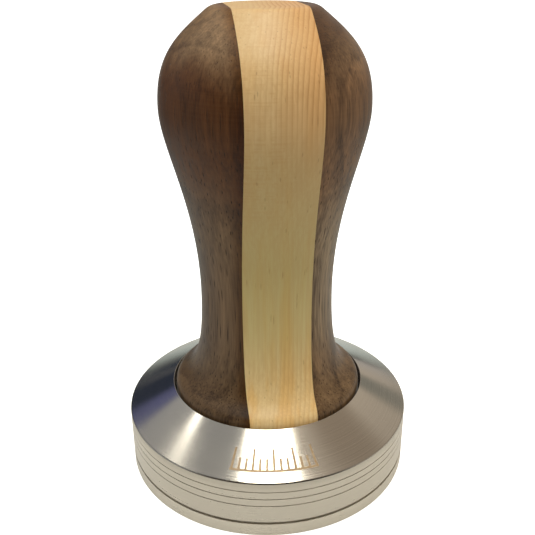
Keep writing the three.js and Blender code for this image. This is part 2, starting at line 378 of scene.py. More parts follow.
class Graph:
    """Short calls that add and join nodes in one node tree."""

    def __init__(self, tree):
        self.tree = tree

    def feed(self, node, inputs):
        """Gives a node its inputs: a socket is linked, and anything else is a constant."""
        for key, value in inputs.items():
            if isinstance(value, bpy.types.NodeSocket):
                self.tree.links.new(value, node.inputs[key])
            else:
                node.inputs[key].default_value = value
        return node

    def add(self, kind, inputs=None, **settings):
        """Adds a node with its settings and its inputs."""
        node = self.tree.nodes.new(kind)
        for key, value in settings.items():
            setattr(node, key, value)
        return self.feed(node, inputs or {})

    def math(self, operation, first, second=0.0, third=0.0):
        """A Math node's value."""
        node = self.add("ShaderNodeMath", {0: first, 1: second, 2: third}, operation=operation)
        return node.outputs[0]

    def times(self, first, second):
        """Two values multiplied."""
        return self.math("MULTIPLY", first, second)

    def times_plus(self, first, second, third):
        """The first value times the second, plus the third."""
        return self.math("MULTIPLY_ADD", first, second, third)

    def vector(self, operation, first, second=(0, 0, 0)):
        """A Vector Math node's vector."""
        node = self.add("ShaderNodeVectorMath", {0: first, 1: second}, operation=operation)
        return node.outputs[0]

    def dot(self, first, second):
        """The dot product of two vectors."""
        node = self.add("ShaderNodeVectorMath", {0: first, 1: second}, operation="DOT_PRODUCT")
        return node.outputs["Value"]

    def length(self, vector):
        """The length of a vector."""
        node = self.add("ShaderNodeVectorMath", {0: vector}, operation="LENGTH")
        return node.outputs["Value"]

    def radius(self, vector):
        """The distance of a point from the Z axis."""
        return self.length(self.vector("MULTIPLY", vector, (1.0, 1.0, 0.0)))

    def parts(self, vector):
        """The X, Y and Z of a vector."""
        node = self.add("ShaderNodeSeparateXYZ", {0: vector})
        return node.outputs[0], node.outputs[1], node.outputs[2]

    def ramp(self, value, low, high, start=0.0, end=1.0, smooth=True):
        """The value taken from low..high to start..end, and held there beyond them."""
        inputs = {"Value": value, 1: low, 2: high, 3: start, 4: end}
        kind = "SMOOTHSTEP" if smooth else "LINEAR"
        return self.add("ShaderNodeMapRange", inputs, interpolation_type=kind).outputs[0]

    def noise(self, vector, scale=1.0, detail=2.0, roughness=0.5):
        """A noise value from 0 to 1."""
        inputs = {"Vector": vector, "Scale": scale, "Detail": detail, "Roughness": roughness}
        return self.add("ShaderNodeTexNoise", inputs).outputs["Fac"]

    def blend(self, share, first, second, mode="MIX"):
        """Two colours mixed by a share."""
        inputs = {0: share, 6: first, 7: second}
        return self.add("ShaderNodeMix", inputs, data_type="RGBA", blend_type=mode).outputs[2]

    def tint(self, share, colour, factor):
        """A colour multiplied, by a share, with a factor for each channel."""
        return self.blend(share, colour, opaque(factor), "MULTIPLY")

    def zone(self, value, rise, fall, peak=1.0):
        """A share that comes in over one span of millimetres and goes out over another."""
        inside = self.ramp(value, rise[0] * MM, rise[1] * MM, 0.0, peak)
        return self.times(inside, self.ramp(value, fall[0] * MM, fall[1] * MM, 1.0, 0.0))

    def bump(self, height, distance):
        """The normal of a height map whose full range is the distance."""
        inputs = {"Height": height, "Distance": distance, "Strength": 1.0}
        return self.add("ShaderNodeBump", inputs).outputs[0]

    def group(self, group, inputs):
        """The outputs of a node group placed in this tree."""
        return self.add("ShaderNodeGroup", inputs, node_tree=group).outputs

    def line(self, place, lines_per_metre):
        """Lathe lines round the axis, from 0 to 1."""
        inputs = {"Vector": place, "Lines per Metre": lines_per_metre}
        return self.group(turning_lines(), inputs)[0]


def once(build):
    """Builds a node group on the first call and gives the same one after that."""

    def placed():
        return bpy.data.node_groups.get(build.__name__) or build(build.__name__)

    return placed


def new_group(name, inputs, outputs):
    """An empty shader node group with named sockets, its graph and its two ends."""
    group = bpy.data.node_groups.new(name, "ShaderNodeTree")
    for label, kind, default in inputs:
        socket = group.interface.new_socket(label, in_out="INPUT", socket_type=kind)
        if default is not None:
            socket.default_value = default
    for label, kind in outputs:
        group.interface.new_socket(label, in_out="OUTPUT", socket_type=kind)
    graph = Graph(group)
    return group, graph, graph.add("NodeGroupInput").outputs, graph.add("NodeGroupOutput")


@once
def growth_rings(name):
    """Rings round a pith that runs along Z: pale early wood, then a darker late line."""
    inputs = [
        ("Vector", VECTOR, None),
        ("Pith", VECTOR, None),
        ("Rings per Metre", FLOAT, 400.0),
        ("Waver", FLOAT, 0.001),
    ]
    outputs = [("Late Wood", FLOAT), ("Ring Tone", FLOAT)]
    group, g, given, out = new_group(name, inputs, outputs)
    flow = g.vector("MULTIPLY", given["Vector"], (70.0, 70.0, 14.0))
    drift = g.math("SUBTRACT", g.noise(flow, 1.0, 1.0), 0.5)
    fine_flow = g.vector("MULTIPLY", given["Vector"], (420.0, 420.0, 40.0))
    quiver = g.math("SUBTRACT", g.noise(fine_flow, 1.0, 1.0), 0.5)
    flat = g.vector("MULTIPLY", g.vector("SUBTRACT", given["Vector"], given["Pith"]), (1, 1, 0.04))
    sway = g.times_plus(quiver, 0.12, drift)
    radius = g.times_plus(sway, given["Waver"], g.length(flat))
    phase = g.times(radius, given["Rings per Metre"])
    saw = g.math("FRACT", phase)
    rise = g.math("POWER", saw, 2.6)
    fall = g.ramp(saw, 0.86, 1.0, 1.0, 0.0)
    tone_inputs = {"W": g.math("FLOOR", phase), "Scale": 0.73}
    tone = g.add("ShaderNodeTexNoise", tone_inputs, noise_dimensions="1D")
    g.feed(out, {"Late Wood": g.times(rise, fall), "Ring Tone": tone.outputs["Fac"]})
    return group


@once
def wood_fibres(name):
    """Fine streaks along the grain, which runs along Z."""
    inputs = [("Vector", VECTOR, None), ("Fineness", FLOAT, 1.0)]
    group, g, given, out = new_group(name, inputs, [("Fibre", FLOAT)])
    coarse = g.vector("MULTIPLY", given["Vector"], (900.0, 900.0, 34.0))
    fine = g.vector("MULTIPLY", given["Vector"], (3200.0, 3200.0, 110.0))
    broad, slim = g.noise(coarse, given["Fineness"], 2.0), g.noise(fine, given["Fineness"], 1.0)
    g.feed(out, {"Fibre": g.ramp(g.math("ADD", broad, slim), 0.62, 1.38, smooth=False)})
    return group


@once
def wood_pores(name):
    """Open pores: short dark dashes along the grain, and dots on end grain."""
    inputs = [
        ("Vector", VECTOR, None),
        ("Pores per Metre", FLOAT, 1500.0),
        ("Stretch", FLOAT, 0.06),
        ("Amount", FLOAT, 0.5),
    ]
    group, g, given, out = new_group(name, inputs, [("Pore", FLOAT)])
    x, y, z = g.parts(given["Vector"])
    bend = g.times(g.noise(given["Vector"], 60.0, 1.0), 0.0012)
    bent = {0: g.math("ADD", x, bend), 1: g.math("ADD", y, bend)}
    squeezed = g.add("ShaderNodeCombineXYZ", {**bent, 2: g.times(z, given["Stretch"])})
    cell_inputs = {"Vector": squeezed.outputs[0], "Scale": given["Pores per Metre"]}
    cells = g.add("ShaderNodeTexVoronoi", cell_inputs)
    kept = g.math("LESS_THAN", g.parts(cells.outputs["Color"])[0], given["Amount"])
    near = g.ramp(cells.outputs["Distance"], 0.12, 0.33, 1.0, 0.0)
    g.feed(out, {"Pore": g.times(near, kept)})
    return group


@once
def turning_lines(name):
    """Fine lines round the axis, as a lathe tool or sanding on a lathe leaves them."""
    inputs = [("Vector", VECTOR, None), ("Lines per Metre", FLOAT, 6000.0)]
    group, g, given, out = new_group(name, inputs, [("Line", FLOAT)])
    height = g.parts(given["Vector"])[2]
    along = g.math("SUBTRACT", g.radius(given["Vector"]), g.times(height, 0.83))
    broken = g.times(g.noise(given["Vector"], 90.0, 1.0), 0.00004)
    place = g.times(g.math("ADD", along, broken), given["Lines per Metre"])
    line_inputs = {"W": place, "Scale": 1.0, "Detail": 3.0}
    lines = g.add("ShaderNodeTexNoise", line_inputs, noise_dimensions="1D")
    g.feed(out, {"Line": lines.outputs["Fac"]})
    return group


@once
def handling_marks(name):
    """Soft smudges and a few fine rubbed streaks, from 0 to 1."""
    inputs = [("Vector", VECTOR, None), ("Marks per Metre", FLOAT, 90.0)]
    group, g, given, out = new_group(name, inputs, [("Smudge", FLOAT)])
    broad = g.noise(given["Vector"], given["Marks per Metre"], 3.0, 0.6)
    grain = g.noise(given["Vector"], g.times(given["Marks per Metre"], 14.0), 2.0)
    mixed = g.times_plus(grain, 0.3, g.times(broad, 0.85))
    g.feed(out, {"Smudge": g.ramp(mixed, 0.38, 0.78)})
    return group


def new_material(name):
    """A material with its graph, its Principled BSDF and the object's own coordinates."""
    material = bpy.data.materials.new(name)
    material.use_nodes = True
    graph = Graph(material.node_tree)
    shader = material.node_tree.nodes["Principled BSDF"]
    place = graph.add("ShaderNodeTexCoord").outputs["Object"]
    return material, graph, shader, place


def opaque(colour):
    """A colour setting with its alpha."""
    return (*colour, 1.0)


def scaled(colour, share):
    """A colour made darker or lighter."""
    return tuple(min(1.0, channel * share) for channel in colour[:3]) + (1.0,)


# ------------------------------------------------------------------ finishes


class Turning(NamedTuple):
    """How a metal surface was turned.

    Lightness is a share of the metal's own colour, and tone is how far the colour goes
    up and down from line to line.
    """

    name: str
    lightness: float
    roughness: float
    line_height: float
    lines_per_metre: float
    anisotropy: float = 0.0
    tone: float = 0.08


CONE = Turning("turned_cone", 1.0, 0.17, 0.0018 * MM, 3000.0, anisotropy=0.5, tone=0.055)
WALL = Turning("satin_wall", 0.97, 0.34, 0.0006 * MM, 2600.0, anisotropy=0.3, tone=0.04)
# Painted reflection: the lip is the wall's satin steel made lighter, to show the bright floor it
# reflects close to the base.
LIP_PAINTED_BRIGHT = WALL._replace(name="satin_lip_painted_reflection", lightness=1.1)
RECESS = Turning("machined_recess", 0.8, 0.3, 0.004 * MM, 3500.0)
GROOVE = Turning("groove_floor", 0.95, 0.48, 0.002 * MM, 9000.0)
SOLE = Turning("lapped_sole", 1.02, 0.2, 0.0008 * MM, 5200.0)
# Partly painted: the brow is burnished smooth, and its darker colour is a painted dark line standing in
# for the dark reflection along the brow.
BROW_PAINTED_DARK = Turning("burnished_brow_painted_dark", 0.8, 0.16, 0.0008 * MM, 5200.0)
STUD = Turning("stud_steel", 0.8, 0.3, 0.002 * MM, 8000.0)
INSERT = Turning("insert_brass", 1.0, 0.26, 0.002 * MM, 7000.0)


def turned_metal(colour, turning):
    """Turned metal, with its tool lines, smudges and brighter rubbed edges.

    Gives what new_material gives.
    """
    material, g, shader, place = new_material(turning.name)
    metal = scaled(colour, turning.lightness)
    line = g.line(place, turning.lines_per_metre)
    smudge = g.group(handling_marks(), {"Vector": place, "Marks per Metre": 80.0})[0]
    edge = g.add("ShaderNodeAttribute", attribute_name="worn_edge").outputs["Fac"]
    low, high = scaled(metal, 1 - turning.tone), scaled(metal, 1 + turning.tone)
    toned = g.blend(g.ramp(line, 0.3, 0.7), low, high)
    smeared = g.blend(g.times(smudge, 0.25), toned, scaled(metal, 0.84))
    bright = g.blend(g.times(edge, 0.6), smeared, scaled(metal, 1.18))
    grain = g.times_plus(line, 0.10, turning.roughness - 0.05)
    dulled = g.times_plus(smudge, 0.05, grain)
    rough = g.times_plus(edge, -0.06, dulled)
    normal = g.bump(line, turning.line_height)
    look = {"Base Color": bright, "Roughness": rough, "Metallic": 1.0, "Normal": normal}
    g.feed(shader, {**look, "Anisotropic": turning.anisotropy})
    if turning.anisotropy:
        tangent = g.add("ShaderNodeTangent", direction_type="RADIAL", axis="Z")
        g.feed(shader, {"Anisotropic Rotation": 0.25, "Tangent": tangent.outputs[0]})
    return material, g, shader, place


def metal_finish(colour, turning):
    """The material of a turned surface."""
    return turned_metal(colour, turning)[0]


def scale_share(g, place, s):
    """From 0 to 1 where the base line and the ticks of the laser-marked scale are."""
    soft = 0.03 * MM
    x, y, z = g.parts(place)
    bearing = g.math("ARCTAN2", x, g.times(y, -1.0))
    aside = g.math("SUBTRACT", bearing, s.scale_bearing)
    along = g.math("DIVIDE", aside, s.tick_step)
    number = g.math("ROUND", along)
    offset = g.math("ABSOLUTE", g.math("SUBTRACT", along, number))
    stroke = g.ramp(offset, 0.15, 0.19, 1.0, 0.0)
    half_count = (s.tick_count - 1) / 2
    within = g.ramp(g.math("ABSOLUTE", along), half_count + 0.4, half_count + 0.45, 1.0, 0.0)
    is_long = g.math("LESS_THAN", g.math("ABSOLUTE", g.math("WRAP", number, 2.5, -0.5)), 0.25)
    rise = g.times_plus(is_long, s.long_tick - s.short_tick, s.short_tick)
    height = g.math("SUBTRACT", z, s.scale_height)
    above = g.ramp(height, -soft, soft)
    below = g.ramp(g.math("SUBTRACT", height, rise), -soft, soft, 1.0, 0.0)
    ticks = g.times(g.times(stroke, within), g.times(above, below))
    line_end = half_count * s.tick_step + math.radians(0.6)
    line_within = g.ramp(g.math("ABSOLUTE", aside), line_end, line_end + 0.004, 1.0, 0.0)
    line_stroke = g.ramp(g.math("ABSOLUTE", height), 0.08 * MM, 0.13 * MM, 1.0, 0.0)
    mark = g.math("MAXIMUM", ticks, g.times(line_stroke, line_within))
    speckle = g.ramp(g.noise(place, 5200.0, 2.0), 0.25, 0.6, 0.55, 1.0)
    return g.times(mark, speckle)


def cone_finish(s):
    """The polished cone, with a laser-marked scale of fine ticks on its front."""
    material, g, shader, place = turned_metal(s.steel, CONE)
    share = scale_share(g, place, s)
    bright = shader.inputs["Base Color"].links[0].from_socket
    rough = shader.inputs["Roughness"].links[0].from_socket
    look = {
        "Base Color": g.blend(share, bright, opaque(s.etching)),
        "Roughness": g.times_plus(share, 0.35, rough),
        "Metallic": g.times_plus(share, -0.75, 1.0),
    }
    g.feed(shader, look)
    return material


class Timber(NamedTuple):
    """How fine a kind of wood is, and how it was finished."""

    rings_per_metre: float
    waver: float
    fineness: float
    pores_per_metre: float
    pore_stretch: float
    pore_amount: float
    sanding_per_metre: float
    marks_per_metre: float


WALNUT = Timber(260.0, 0.011, 1.0, 2500.0, 0.045, 0.56, 2600.0, 45.0)
MAPLE = Timber(1180.0, 0.0024, 1.15, 2100.0, 0.12, 0.13, 3600.0, 40.0)
MAPLE_PITH = (-0.085, 0.012, 0.0)


class Board(NamedTuple):
    """The piece of walnut that a stave was cut from.

    The stave's place in the tree and the tree's pith set the run of the grain. The other
    values say how pale the board is (on the right stave partly a painted sheen), how much
    redder it is in the bulb, what colour the top is and how fully, how dark the heartwood
    is beside the glue line, how strongly a painted grey sheen lightens the waist, and how
    dark the foot is.
    """

    place: tuple
    pith: tuple
    lightness: float
    bulb: float
    crown_colour: tuple
    crown: float
    heartwood: float
    painted_waist_sheen: float
    foot: float


LEFT_BOARD = Board(
    place=(0.031, 0.017, 0.042),
    pith=(0.083, 0.075, 0.0),
    lightness=1.0,
    bulb=1.0,
    crown_colour=(0.28, 0.175, 0.09),
    crown=0.55,
    heartwood=1.0,
    painted_waist_sheen=0.0,
    foot=0.78,
)
RIGHT_BOARD = Board(
    place=(-0.052, 0.029, 0.203),
    pith=(-0.121, 0.058, 0.0),
    # Partly painted sheen: the right stave is also made paler to show the grey sheen that light from
    # the right gives it.
    lightness=1.66,
    bulb=0.5,
    crown_colour=(0.060, 0.026, 0.010),
    crown=0.92,
    heartwood=0.3,
    painted_waist_sheen=1.0,
    foot=1.0,
)

# What the wood's red, green and blue are multiplied with in each part of the handle. The
# walnut's grey waist tint is a painted sheen, and the maple's tints for the rise to the top,
# the waist and the foot are painted light and shade. The others are the wood's own colour.
WALNUT_BULB = (0.58, 0.35, 0.20)
WALNUT_WAIST_PAINTED_SHEEN = (1.22, 1.42, 1.62)
WALNUT_FOOT = (0.58, 0.56, 0.52)
WALNUT_HEARTWOOD = (0.50, 0.33, 0.12)
MAPLE_LOW_PAINTED_SHADE = (0.96, 1.07, 0.98)
MAPLE_HIGH_PAINTED_LIGHT = (1.22, 1.17, 1.22)
MAPLE_WAIST_PAINTED_SHADE = (0.84, 0.87, 0.82)
MAPLE_TOP = (0.90, 0.90, 0.90)
MAPLE_ORANGE = (1.0, 0.80, 0.66)
MAPLE_FLAME = (1.0, 0.84, 0.62)
MAPLE_FOOT_PAINTED_BOUNCE = (0.80, 0.60, 0.30)


def wood_layers(g, place, moved, pith, timber):
    """Late wood, ring tone, fibre, pores, sanding lines and smudges."""
    waver = {"Rings per Metre": timber.rings_per_metre, "Waver": timber.waver}
    rings = g.group(growth_rings(), {"Vector": moved, "Pith": pith, **waver})
    fibre = g.group(wood_fibres(), {"Vector": moved, "Fineness": timber.fineness})[0]
    pore_inputs = {
        "Vector": moved,
        "Pores per Metre": timber.pores_per_metre,
        "Stretch": timber.pore_stretch,
        "Amount": timber.pore_amount,
    }
    pores = g.group(wood_pores(), pore_inputs)[0]
    sanding = g.line(place, timber.sanding_per_metre)
    mark_inputs = {"Vector": moved, "Marks per Metre": timber.marks_per_metre}
    smudge = g.group(handling_marks(), mark_inputs)[0]
    return rings["Late Wood"], rings["Ring Tone"], fibre, pores, sanding, smudge


def walnut_finish(name, sizes, board):
    """Oiled walnut: growth rings, fibres and open pores through the whole stave, and on the
    right stave a painted grey sheen.
    """
    material, g, shader, place = new_material(name)
    moved = g.vector("ADD", place, board.place)
    layers = wood_layers(g, place, moved, board.pith, WALNUT)
    late, ring_tone, fibre, pores, sanding, smudge = layers
    cloud = g.noise(g.vector("MULTIPLY", moved, (75.0, 75.0, 26.0)), 1.0, 3.0, 0.5)
    body = g.times_plus(fibre, 0.58, g.times(cloud, 0.9))
    lined = g.math("SUBTRACT", body, g.times(late, 0.30))
    tone = g.times_plus(ring_tone, 0.18, lined)
    dark, light = opaque(sizes.walnut_dark), scaled(sizes.walnut_light, board.lightness)
    grained = g.blend(g.ramp(tone, 0.30, 1.06, smooth=False), dark, light)
    x, _, z = g.parts(place)
    drift = g.times(g.noise(g.vector("MULTIPLY", moved, (90.0, 90.0, 30.0))), 12 * MM)
    level = g.math("ADD", z, drift)
    reddened = g.tint(g.zone(level, (56, 72), (83, 92), board.bulb), grained, WALNUT_BULB)
    outward = g.math("SUBTRACT", g.math("ABSOLUTE", x), GLUE_PLANE)
    slope = g.times_plus(outward, -0.8, level)
    crown_dark, crown_light = scaled(board.crown_colour, 0.62), scaled(board.crown_colour, 1.42)
    crown = g.blend(g.ramp(tone, 0.40, 0.98, smooth=False), crown_dark, crown_light)
    crowned = g.blend(g.ramp(slope, 79 * MM, 91 * MM, 0.0, board.crown), reddened, crown)
    # Painted sheen: the waist is made paler and greyer where light from the right gives the stave a
    # grey sheen.
    waist_sheen_painted = g.tint(g.zone(level, (30, 40), (54, 68), board.painted_waist_sheen), crowned, WALNUT_WAIST_PAINTED_SHEEN)
    footed = g.tint(g.ramp(level, 22 * MM, 40 * MM, board.foot, 0.0), waist_sheen_painted, WALNUT_FOOT)
    beside_glue = g.times_plus(drift, 0.12, outward)
    heartwood = g.ramp(beside_glue, 0.7 * MM, 3.2 * MM, board.heartwood, 0.0)
    stained = g.tint(heartwood, footed, WALNUT_HEARTWOOD)
    sanded = g.blend(g.ramp(sanding, 0.35, 0.65, 0.0, 0.035), stained, light)
    shown = g.times(pores, g.ramp(z, 58 * MM, 78 * MM, 1.0, 0.45))
    rough = g.times_plus(smudge, 0.07, g.times_plus(fibre, 0.10, 0.36))
    relief = g.times_plus(fibre, 0.16, g.times(pores, -1.0))
    look = {
        "Base Color": g.blend(shown, sanded, scaled(sizes.walnut_dark, 0.35)),
        "Roughness": g.times_plus(pores, 0.22, rough),
        "Specular IOR Level": 0.28,
        "Sheen Weight": 0.14,
        "Sheen Roughness": 0.22,
        "Normal": g.bump(g.times_plus(sanding, 0.05, relief), 0.03 * MM),
    }
    g.feed(shader, look)
    return material


def maple_finish(sizes):
    """Oiled maple: clear upright growth lines, strongest towards +X, and fine fibres, with
    painted light and shade: lighter at the top, darker at the waist, warmer at the foot.
    """
    material, g, shader, place = new_material("maple")
    late, _, fibre, pores, sanding, smudge = wood_layers(g, place, place, MAPLE_PITH, MAPLE)
    x, _, z = g.parts(place)
    upper = g.ramp(z, 64 * MM, 85 * MM, 0.2, 1.0)
    strength = g.times(g.ramp(x, -5.5 * MM, 4.5 * MM, 0.12, 1.0), upper)
    strength = g.math("MAXIMUM", strength, g.ramp(z, 26 * MM, 44 * MM, 0.27, 0.0))
    cloud = g.noise(g.vector("MULTIPLY", place, (60.0, 60.0, 26.0)), 1.0, 2.0)
    patch = g.ramp(cloud, 0.35, 0.65, 0.35, 1.0)
    line = g.times(g.times(late, strength), patch)
    # Painted light: the maple gets lighter towards the top, where the overhead light falls, and greener
    # low down as painted shade from the surroundings.
    painted_rise_to_light = g.blend(g.ramp(z, 30 * MM, 75 * MM), opaque(MAPLE_LOW_PAINTED_SHADE), opaque(MAPLE_HIGH_PAINTED_LIGHT))
    pale = g.blend(1.0, opaque(sizes.maple_pale), painted_rise_to_light, "MULTIPLY")
    # Painted light: the foot is made brighter and warmer, the warm light that the polished cone throws
    # onto it.
    pale = g.blend(g.ramp(z, 16 * MM, 38 * MM, 1.0, 0.0), pale, opaque(MAPLE_FOOT_PAINTED_BOUNCE))
    # Painted shade: the maple is darker and greener below the bulb, where the bulb overhangs it and
    # less light falls.
    pale = g.tint(g.zone(z, (34, 48), (65, 76)), pale, MAPLE_WAIST_PAINTED_SHADE)
    pale = g.tint(g.ramp(z, 80 * MM, 88 * MM), pale, MAPLE_TOP)
    orange = g.times(g.ramp(x, -4 * MM, 6 * MM), g.ramp(z, 56 * MM, 82 * MM, 0.0, 0.75))
    pale = g.tint(orange, pale, MAPLE_ORANGE)
    ringed = g.blend(g.times(line, 1.7), pale, opaque(sizes.maple_ring))
    flame = g.noise(g.vector("MULTIPLY", place, (420.0, 200.0, 26.0)), 1.0, 3.0)
    flamed = g.times(g.ramp(flame, 0.42, 0.68), g.ramp(z, 30 * MM, 60 * MM, 0.75, 0.25))
    warmed = g.tint(flamed, ringed, MAPLE_FLAME)
    streaked = g.blend(g.ramp(fibre, 0.25, 0.85, 0.16, 0.0), warmed, scaled(sizes.maple_ring, 0.95))
    ribs = g.times(g.ramp(sanding, 0.38, 0.64, 0.2, 0.0), g.ramp(z, 50 * MM, 68 * MM, 0.1, 1.0))
    left_ribs = g.times(ribs, g.ramp(x, -2 * MM, 3 * MM, 1.0, 0.15))
    broken_ribs = g.times(left_ribs, g.ramp(g.noise(place, 800.0, 1.0), 0.38, 0.62))
    sanded = g.blend(broken_ribs, streaked, scaled(sizes.maple_ring, 1.05))
    rough = g.times_plus(fibre, 0.08, 0.36)
    relief = g.times_plus(fibre, 0.2, g.times(pores, -0.6))
    relief = g.times_plus(line, -0.12, relief)
    look = {
        "Base Color": g.blend(g.times(pores, 0.34), sanded, scaled(sizes.maple_ring, 0.55)),
        "Roughness": g.times_plus(smudge, 0.08, rough),
        "Specular IOR Level": 0.3,
        "Sheen Weight": 0.04,
        "Sheen Roughness": 0.35,
        "Normal": g.bump(g.times_plus(sanding, 0.08, relief), 0.02 * MM),
    }
    g.feed(shader, look)
    return material


def rubber_finish(sizes):
    """Moulded rubber, dulled by dust that settles in its fine grain."""
    material, g, shader, place = new_material("washer_rubber")
    grain = g.noise(place, 4200.0, 3.0, 0.6)
    smudge = g.group(handling_marks(), {"Vector": place, "Marks per Metre": 160.0})[0]
    dusty = opaque(channel + 0.045 for channel in sizes.rubber)
    look = {
        "Base Color": g.blend(g.times(smudge, 0.6), opaque(sizes.rubber), dusty),
        "Roughness": g.times_plus(grain, 0.2, 0.55),
        "Normal": g.bump(grain, 0.01 * MM),
    }
    g.feed(shader, look)
    return material


# ------------------------------------------------------------------ pieces

FINE_GROOVES = 3
FINE_TAPER = 0.3


class TAMPER_OT_build_base(bpy.types.Operator):
    """Turn the stainless base with its grooves, cone and recess"""

    bl_idname = "tamper.build_base"
    bl_label = "Build Base"

    def execute(self, context):
        s = context.scene.tamper_base
        # The lip's finish is lighter steel: a painted reflection of the floor near the base.
        cone, wall, recess, groove, sole, brow, lip = range(7)
        corners = [(0, 0, 0, sole), (BASE_RADIUS, 0, s.edge_break, lip)]
        corners += self.groove(s.groove_height, s.groove_width, s.groove_depth, 0.0, wall, groove)
        for k in range(FINE_GROOVES):
            height = s.fine_lowest + k * s.fine_spacing
            corners += self.groove(height, s.fine_width, s.fine_depth, FINE_TAPER, wall, groove)
        bore = STUD_RADIUS + 0.2 * MM
        lead = 0.4 * MM
        floor = s.recess_floor
        corners += [
            # The brow's finish is darker steel: a painted dark line.
            (BASE_RADIUS, s.wall_height, s.brow_break, cone, brow),
            (s.recess_radius, RIM_HEIGHT, 0.12 * MM, recess),
            (s.recess_radius, floor, 0.3 * MM, recess),
            (bore + lead, floor, CRISP_EDGE, recess),
            (bore, floor - lead, CRISP_EDGE, recess),
            (bore, floor - s.bore_depth, 0, recess),
            (0, floor - s.bore_depth, 0, recess),
        ]
        turnings = (WALL, RECESS, GROOVE, SOLE, BROW_PAINTED_DARK, LIP_PAINTED_BRIGHT)
        materials = [cone_finish(s), *(metal_finish(s.steel, turning) for turning in turnings)]
        bm = turned_bmesh(filleted(corners), TURNED_SEGMENTS)
        piece = piece_from(bm, "turned_base", materials)
        weigh_normals(piece)
        hand_over(piece, "base", ["base"])
        return {"FINISHED"}

    @staticmethod
    def groove(height, width, depth, taper, wall, groove):
        """Corners of one groove, from its lower edge to its upper edge."""
        half = width / 2
        inner_half = half * (1 - taper)
        inner = BASE_RADIUS - depth
        return [
            (BASE_RADIUS, height - half, CRISP_EDGE, groove),
            (inner, height - inner_half, CRISP_EDGE, groove),
            (inner, height + inner_half, CRISP_EDGE, groove),
            (BASE_RADIUS, height + half, CRISP_EDGE, wall),
        ]


class TAMPER_OT_build_stud(bpy.types.Operator):
    """Cut the threaded stud and its hex socket"""

    bl_idname = "tamper.build_stud"
    bl_label = "Build Stud"

    def execute(self, context):
        s = context.scene.tamper_joint
        chamfer = s.stud_chamfer
        bm = helical_bmesh(s.pitch, STUD_RADIUS, s.depth, STUD_BOTTOM, STUD_TOP, chamfer, chamfer)
        metal = metal_finish(context.scene.tamper_base.steel, STUD)
        piece = piece_from(bm, "threaded_stud", [metal], THREAD_CREASE)
        across = s.socket_width / 2 / math.cos(math.pi / 6)
        floor, above = STUD_TOP - s.socket_depth, STUD_TOP + MM
        drill_tip = floor - across / 2
        outline = [(0, drill_tip, 0, 0), (across, floor, 0, 0), (across, above, 0, 0), (0, above, 0, 0)]
        combine(piece, piece_from(turned_bmesh(outline, 6), "socket_tool", [metal]), "DIFFERENCE")
        hand_over(piece, "base", ["base_stud"])
        return {"FINISHED"}


class TAMPER_OT_build_washer(bpy.types.Operator):
    """Mould the rubber washer that lies in the recess"""

    bl_idname = "tamper.build_washer"
    bl_label = "Build Washer"

    def execute(self, context):
        s = context.scene.tamper_joint
        edge = 0.25 * MM
        dish = 0.15 * MM
        land = 1.6 * MM
        corners = [
            (s.washer_hole, WASHER_BOTTOM + 0.3 * MM, 0, 0),
            (s.washer_hole, WASHER_BOTTOM, edge, 0),
            (WASHER_RADIUS, WASHER_BOTTOM, edge, 0),
            (WASHER_RADIUS, WASHER_TOP, edge, 0),
            (WASHER_RADIUS - land, WASHER_TOP, dish, 0),
            (WASHER_RADIUS - land - dish, WASHER_TOP - dish, dish, 0),
            (s.washer_hole + land + dish, WASHER_TOP - dish, dish, 0),
            (s.washer_hole + land, WASHER_TOP, dish, 0),
            (s.washer_hole, WASHER_TOP, edge, 0),
        ]
        points = filleted([*corners, (s.washer_hole, WASHER_BOTTOM + 0.6 * MM, 0, 0)])
        bm = turned_bmesh(points, TURNED_SEGMENTS, closed=True)
        piece = piece_from(bm, "rubber_washer", [rubber_finish(s)], WASHER_CREASE)
        weigh_normals(piece)
        hand_over(piece, "washer", ["foot_washer"])
        return {"FINISHED"}


class TAMPER_OT_build_insert(bpy.types.Operator):
    """Cut the brass insert with its flange and its two threads"""

    bl_idname = "tamper.build_insert"
    bl_label = "Build Insert"

    def execute(self, context):
        s = context.scene.tamper_joint
        shoulder = INSERT_BOTTOM + s.flange_thickness
        metal = metal_finish(s.brass, INSERT)
        screw = helical_bmesh(
            s.wood_pitch, s.wood_radius, s.wood_depth, shoulder - 0.3 * MM, INSERT_TOP, 0, s.wood_depth
        )
        piece = piece_from(screw, "brass_insert", [metal], THREAD_CREASE)
        edge = 0.2 * MM
        flange = [
            (0, INSERT_BOTTOM, 0, 0),
            (FLANGE_RADIUS, INSERT_BOTTOM, edge, 0),
            (FLANGE_RADIUS, shoulder, edge, 0),
            (0, shoulder, 0, 0),
        ]
        disc = turned_bmesh(filleted(flange), FLANGE_SEGMENTS)
        combine(piece, piece_from(disc, "flange_tool", [metal]), "UNION")
        crest = STUD_RADIUS + s.clearance
        thread = helical_bmesh(s.pitch, crest, s.depth, INSERT_BOTTOM - MM, INSERT_TOP + MM, 0, 0)
        combine(piece, piece_from(thread, "tap_tool", [metal]), "DIFFERENCE")
        lip = crest + 0.4 * MM
        mouth = [
            (0, INSERT_BOTTOM - MM, 0, 0),
            (lip + MM, INSERT_BOTTOM - MM, 0, 0),
            (lip - MM, INSERT_BOTTOM + MM, 0, 0),
            (0, INSERT_BOTTOM + MM, 0, 0),
        ]
        countersink = turned_bmesh(mouth, MOUTH_SEGMENTS)
        combine(piece, piece_from(countersink, "mouth_tool", [metal]), "DIFFERENCE")
        hand_over(piece, "handle", ["threaded_insert"])
        return {"FINISHED"}


